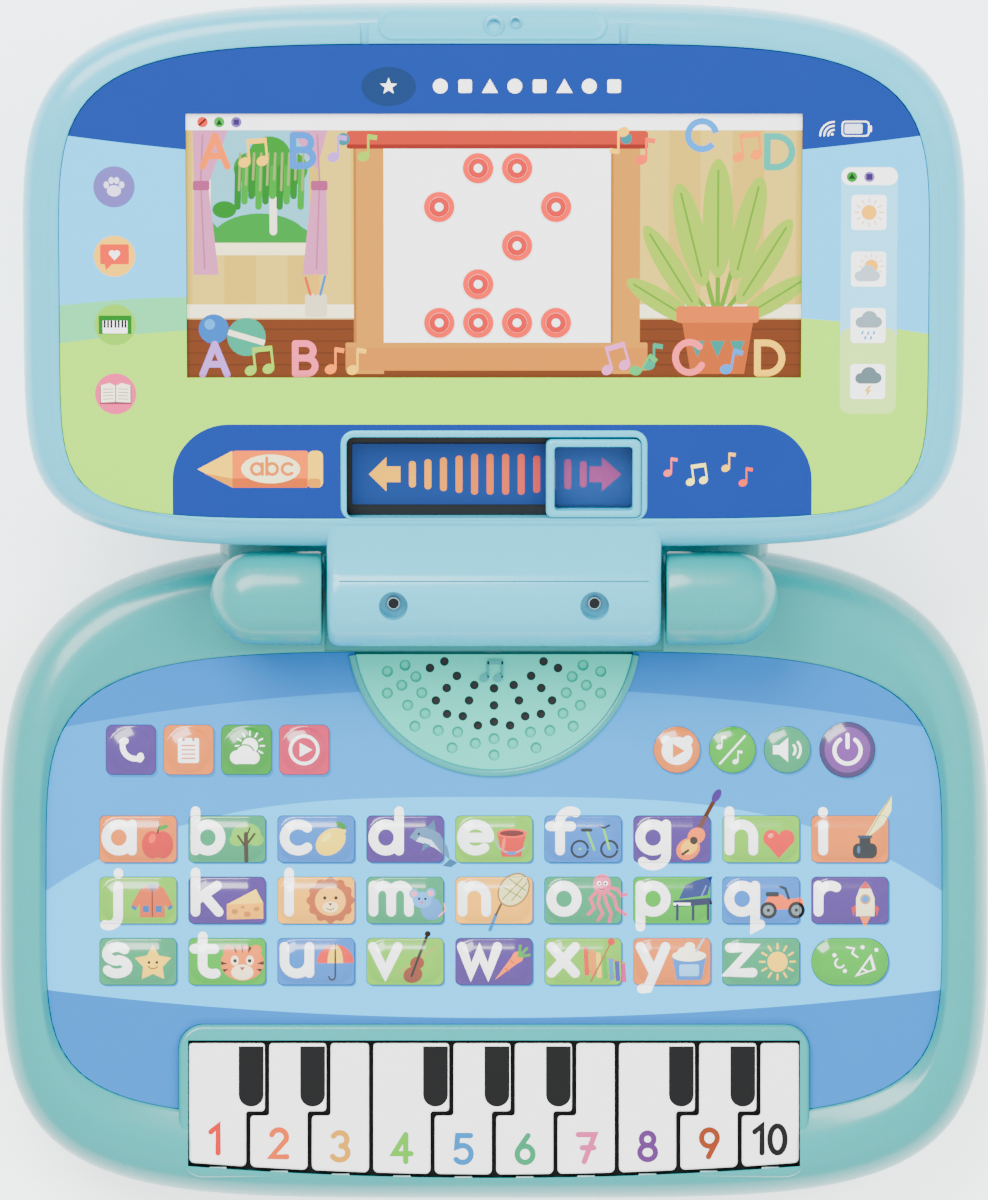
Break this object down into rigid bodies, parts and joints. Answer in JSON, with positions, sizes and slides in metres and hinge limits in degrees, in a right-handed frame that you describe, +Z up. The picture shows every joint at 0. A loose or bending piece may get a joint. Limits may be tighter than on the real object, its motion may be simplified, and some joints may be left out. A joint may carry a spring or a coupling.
{
  "type": "toy laptop computer",
  "caption": "Toy laptop computer, lying open: letter keys under a printed film, a small piano, a lamp screen in the lid, a slider, and a carrying handle behind the hinge.",
  "frame": {"origin": "middle of the base's flat underside, on the surface that the laptop stands on", "axes": "+X to the user's right, along the hinge; +Y away from the user, towards the hinge and the opened lid; +Z up"},
  "size_m": [0.3018, 0.3614, 0.0845],
  "materials": {
    "base_teal": "smooth moulded, glossy",
    "lid_teal": "smooth moulded, glossy",
    "printed_film": "printed film, glossy",
    "printed_screen": "printed sheet, glossy",
    "piano_white": "smooth moulded, glossy",
    "track_black": "satin",
    "switch_rubber": "matt",
    "circuit_green": "lacquered board",
    "speaker_steel": "black lacquer",
    "cell_jacket": "wrapped steel can",
    "ink_orange": "printed film, glossy",
    "ink_teal": "printed film, glossy",
    "ink_blue": "printed film, glossy",
    "ink_purple": "printed film, glossy",
    "ink_lime": "printed film, glossy",
    "ink_amber": "printed film, glossy",
    "ink_green": "printed film, glossy",
    "ink_pink": "printed film, glossy"
  },
  "bodies": {
    "base": {"base_top_shell": "base_teal", "base_bottom_shell": "base_teal", "keyboard_film": "printed_film", "switch_sheet": "switch_rubber", "circuit_board": "circuit_green", "speaker": "speaker_steel", "battery_door": "base_teal", "battery_1": "cell_jacket", "battery_2": "cell_jacket"},
    "lid": {"lid_front_frame": "lid_teal", "lid_back_shell": "lid_teal", "screen_panel": "printed_screen", "led_board": "circuit_green", "slider_track": "track_black"},
    "slider": {"slider_knob": "lid_teal"},
    "button_a": {"key_a": "ink_orange"},
    "button_b": {"key_b": "ink_teal"},
    "button_c": {"key_c": "ink_blue"},
    "button_d": {"key_d": "ink_purple"},
    "button_e": {"key_e": "ink_lime"},
    "button_f": {"key_f": "ink_blue"},
    "button_g": {"key_g": "ink_purple"},
    "button_h": {"key_h": "ink_lime"},
    "button_i": {"key_i": "ink_orange"},
    "button_j": {"key_j": "ink_lime"},
    "button_k": {"key_k": "ink_purple"},
    "button_l": {"key_l": "ink_amber"},
    "button_m": {"key_m": "ink_teal"},
    "button_n": {"key_n": "ink_amber"},
    "button_o": {"key_o": "ink_teal"},
    "button_p": {"key_p": "ink_green"},
    "button_q": {"key_q": "ink_blue"},
    "button_r": {"key_r": "ink_purple"},
    "button_s": {"key_s": "ink_teal"},
    "button_t": {"key_t": "ink_green"},
    "button_u": {"key_u": "ink_blue"},
    "button_v": {"key_v": "ink_lime"},
    "button_w": {"key_w": "ink_purple"},
    "button_x": {"key_x": "ink_lime"},
    "button_y": {"key_y": "ink_orange"},
    "button_z": {"key_z": "ink_teal"},
    "button_party": {"key_party": "ink_green"},
    "button_phone": {"key_phone": "ink_purple"},
    "button_notes": {"key_notes": "ink_orange"},
    "button_weather": {"key_weather": "ink_teal"},
    "button_play": {"key_play": "ink_pink"},
    "button_story": {"key_story": "ink_orange"},
    "button_music": {"key_music": "ink_green"},
    "button_volume": {"key_volume": "ink_teal"},
    "button_power": {"key_power": "ink_purple"},
    "piano_1": {"piano_key_1": "piano_white"},
    "piano_2": {"piano_key_2": "piano_white"},
    "piano_3": {"piano_key_3": "piano_white"},
    "piano_4": {"piano_key_4": "piano_white"},
    "piano_5": {"piano_key_5": "piano_white"},
    "piano_6": {"piano_key_6": "piano_white"},
    "piano_7": {"piano_key_7": "piano_white"},
    "piano_8": {"piano_key_8": "piano_white"},
    "piano_9": {"piano_key_9": "piano_white"},
    "piano_10": {"piano_key_10": "piano_white"}
  },
  "joints": [
    {"name": "lid_hinge", "type": "hinge", "parent": "base", "child": "lid", "pos_m": [0, 0.083, 0.044], "axis": [1, 0, 0], "range_deg": [0, 170]},
    {"name": "slider_slide", "type": "slide", "parent": "lid", "child": "slider", "axis": [1, 0, 0], "range_m": [-0.0598, 0]},
    {"name": "press_a", "type": "slide", "parent": "base", "child": "button_a", "axis": [0, 0, -1], "range_m": [0, 0.001], "stiffness_N_per_m": 300, "springref_m": -0.0005},
    {"name": "press_b", "type": "slide", "parent": "base", "child": "button_b", "axis": [0, 0, -1], "range_m": [0, 0.001], "stiffness_N_per_m": 300, "springref_m": -0.0005},
    {"name": "press_c", "type": "slide", "parent": "base", "child": "button_c", "axis": [0, 0, -1], "range_m": [0, 0.001], "stiffness_N_per_m": 300, "springref_m": -0.0005},
    {"name": "press_d", "type": "slide", "parent": "base", "child": "button_d", "axis": [0, 0, -1], "range_m": [0, 0.001], "stiffness_N_per_m": 300, "springref_m": -0.0005},
    {"name": "press_e", "type": "slide", "parent": "base", "child": "button_e", "axis": [0, 0, -1], "range_m": [0, 0.001], "stiffness_N_per_m": 300, "springref_m": -0.0005},
    {"name": "press_f", "type": "slide", "parent": "base", "child": "button_f", "axis": [0, 0, -1], "range_m": [0, 0.001], "stiffness_N_per_m": 300, "springref_m": -0.0005},
    {"name": "press_g", "type": "slide", "parent": "base", "child": "button_g", "axis": [0, 0, -1], "range_m": [0, 0.001], "stiffness_N_per_m": 300, "springref_m": -0.0005},
    {"name": "press_h", "type": "slide", "parent": "base", "child": "button_h", "axis": [0, 0, -1], "range_m": [0, 0.001], "stiffness_N_per_m": 300, "springref_m": -0.0005},
    {"name": "press_i", "type": "slide", "parent": "base", "child": "button_i", "axis": [0, 0, -1], "range_m": [0, 0.001], "stiffness_N_per_m": 300, "springref_m": -0.0005},
    {"name": "press_j", "type": "slide", "parent": "base", "child": "button_j", "axis": [0, 0, -1], "range_m": [0, 0.001], "stiffness_N_per_m": 300, "springref_m": -0.0005},
    {"name": "press_k", "type": "slide", "parent": "base", "child": "button_k", "axis": [0, 0, -1], "range_m": [0, 0.001], "stiffness_N_per_m": 300, "springref_m": -0.0005},
    {"name": "press_l", "type": "slide", "parent": "base", "child": "button_l", "axis": [0, 0, -1], "range_m": [0, 0.001], "stiffness_N_per_m": 300, "springref_m": -0.0005},
    {"name": "press_m", "type": "slide", "parent": "base", "child": "button_m", "axis": [0, 0, -1], "range_m": [0, 0.001], "stiffness_N_per_m": 300, "springref_m": -0.0005},
    {"name": "press_n", "type": "slide", "parent": "base", "child": "button_n", "axis": [0, 0, -1], "range_m": [0, 0.001], "stiffness_N_per_m": 300, "springref_m": -0.0005},
    {"name": "press_o", "type": "slide", "parent": "base", "child": "button_o", "axis": [0, 0, -1], "range_m": [0, 0.001], "stiffness_N_per_m": 300, "springref_m": -0.0005},
    {"name": "press_p", "type": "slide", "parent": "base", "child": "button_p", "axis": [0, 0, -1], "range_m": [0, 0.001], "stiffness_N_per_m": 300, "springref_m": -0.0005},
    {"name": "press_q", "type": "slide", "parent": "base", "child": "button_q", "axis": [0, 0, -1], "range_m": [0, 0.001], "stiffness_N_per_m": 300, "springref_m": -0.0005},
    {"name": "press_r", "type": "slide", "parent": "base", "child": "button_r", "axis": [0, 0, -1], "range_m": [0, 0.001], "stiffness_N_per_m": 300, "springref_m": -0.0005},
    {"name": "press_s", "type": "slide", "parent": "base", "child": "button_s", "axis": [0, 0, -1], "range_m": [0, 0.001], "stiffness_N_per_m": 300, "springref_m": -0.0005},
    {"name": "press_t", "type": "slide", "parent": "base", "child": "button_t", "axis": [0, 0, -1], "range_m": [0, 0.001], "stiffness_N_per_m": 300, "springref_m": -0.0005},
    {"name": "press_u", "type": "slide", "parent": "base", "child": "button_u", "axis": [0, 0, -1], "range_m": [0, 0.001], "stiffness_N_per_m": 300, "springref_m": -0.0005},
    {"name": "press_v", "type": "slide", "parent": "base", "child": "button_v", "axis": [0, 0, -1], "range_m": [0, 0.001], "stiffness_N_per_m": 300, "springref_m": -0.0005},
    {"name": "press_w", "type": "slide", "parent": "base", "child": "button_w", "axis": [0, 0, -1], "range_m": [0, 0.001], "stiffness_N_per_m": 300, "springref_m": -0.0005},
    {"name": "press_x", "type": "slide", "parent": "base", "child": "button_x", "axis": [0, 0, -1], "range_m": [0, 0.001], "stiffness_N_per_m": 300, "springref_m": -0.0005},
    {"name": "press_y", "type": "slide", "parent": "base", "child": "button_y", "axis": [0, 0, -1], "range_m": [0, 0.001], "stiffness_N_per_m": 300, "springref_m": -0.0005},
    {"name": "press_z", "type": "slide", "parent": "base", "child": "button_z", "axis": [0, 0, -1], "range_m": [0, 0.001], "stiffness_N_per_m": 300, "springref_m": -0.0005},
    {"name": "press_party", "type": "slide", "parent": "base", "child": "button_party", "axis": [0, 0, -1], "range_m": [0, 0.001], "stiffness_N_per_m": 300, "springref_m": -0.0005},
    {"name": "press_phone", "type": "slide", "parent": "base", "child": "button_phone", "axis": [0, 0, -1], "range_m": [0, 0.001], "stiffness_N_per_m": 300, "springref_m": -0.0005},
    {"name": "press_notes", "type": "slide", "parent": "base", "child": "button_notes", "axis": [0, 0, -1], "range_m": [0, 0.001], "stiffness_N_per_m": 300, "springref_m": -0.0005},
    {"name": "press_weather", "type": "slide", "parent": "base", "child": "button_weather", "axis": [0, 0, -1], "range_m": [0, 0.001], "stiffness_N_per_m": 300, "springref_m": -0.0005},
    {"name": "press_play", "type": "slide", "parent": "base", "child": "button_play", "axis": [0, 0, -1], "range_m": [0, 0.001], "stiffness_N_per_m": 300, "springref_m": -0.0005},
    {"name": "press_story", "type": "slide", "parent": "base", "child": "button_story", "axis": [0, 0, -1], "range_m": [0, 0.001], "stiffness_N_per_m": 300, "springref_m": -0.0005},
    {"name": "press_music", "type": "slide", "parent": "base", "child": "button_music", "axis": [0, 0, -1], "range_m": [0, 0.001], "stiffness_N_per_m": 300, "springref_m": -0.0005},
    {"name": "press_volume", "type": "slide", "parent": "base", "child": "button_volume", "axis": [0, 0, -1], "range_m": [0, 0.001], "stiffness_N_per_m": 300, "springref_m": -0.0005},
    {"name": "press_power", "type": "slide", "parent": "base", "child": "button_power", "axis": [0, 0, -1], "range_m": [0, 0.001], "stiffness_N_per_m": 300, "springref_m": -0.0005},
    {"name": "play_1", "type": "hinge", "parent": "base", "child": "piano_1", "pos_m": [-0.0842, -0.048, 0.0239], "axis": [1, 0, 0], "range_deg": [0, 4], "stiffness_Nm_per_rad": 0.4, "springref_deg": -1.15},
    {"name": "play_2", "type": "hinge", "parent": "base", "child": "piano_2", "pos_m": [-0.0655, -0.048, 0.0239], "axis": [1, 0, 0], "range_deg": [0, 4], "stiffness_Nm_per_rad": 0.4, "springref_deg": -1.15},
    {"name": "play_3", "type": "hinge", "parent": "base", "child": "piano_3", "pos_m": [-0.0468, -0.048, 0.0239], "axis": [1, 0, 0], "range_deg": [0, 4], "stiffness_Nm_per_rad": 0.4, "springref_deg": -1.15},
    {"name": "play_4", "type": "hinge", "parent": "base", "child": "piano_4", "pos_m": [-0.0281, -0.048, 0.0239], "axis": [1, 0, 0], "range_deg": [0, 4], "stiffness_Nm_per_rad": 0.4, "springref_deg": -1.15},
    {"name": "play_5", "type": "hinge", "parent": "base", "child": "piano_5", "pos_m": [-0.0094, -0.048, 0.0239], "axis": [1, 0, 0], "range_deg": [0, 4], "stiffness_Nm_per_rad": 0.4, "springref_deg": -1.15},
    {"name": "play_6", "type": "hinge", "parent": "base", "child": "piano_6", "pos_m": [0.0093, -0.048, 0.0239], "axis": [1, 0, 0], "range_deg": [0, 4], "stiffness_Nm_per_rad": 0.4, "springref_deg": -1.15},
    {"name": "play_7", "type": "hinge", "parent": "base", "child": "piano_7", "pos_m": [0.028, -0.048, 0.0239], "axis": [1, 0, 0], "range_deg": [0, 4], "stiffness_Nm_per_rad": 0.4, "springref_deg": -1.15},
    {"name": "play_8", "type": "hinge", "parent": "base", "child": "piano_8", "pos_m": [0.0467, -0.048, 0.0239], "axis": [1, 0, 0], "range_deg": [0, 4], "stiffness_Nm_per_rad": 0.4, "springref_deg": -1.15},
    {"name": "play_9", "type": "hinge", "parent": "base", "child": "piano_9", "pos_m": [0.0654, -0.048, 0.0239], "axis": [1, 0, 0], "range_deg": [0, 4], "stiffness_Nm_per_rad": 0.4, "springref_deg": -1.15},
    {"name": "play_10", "type": "hinge", "parent": "base", "child": "piano_10", "pos_m": [0.0841, -0.048, 0.0239], "axis": [1, 0, 0], "range_deg": [0, 4], "stiffness_Nm_per_rad": 0.4, "springref_deg": -1.15}
  ]
}
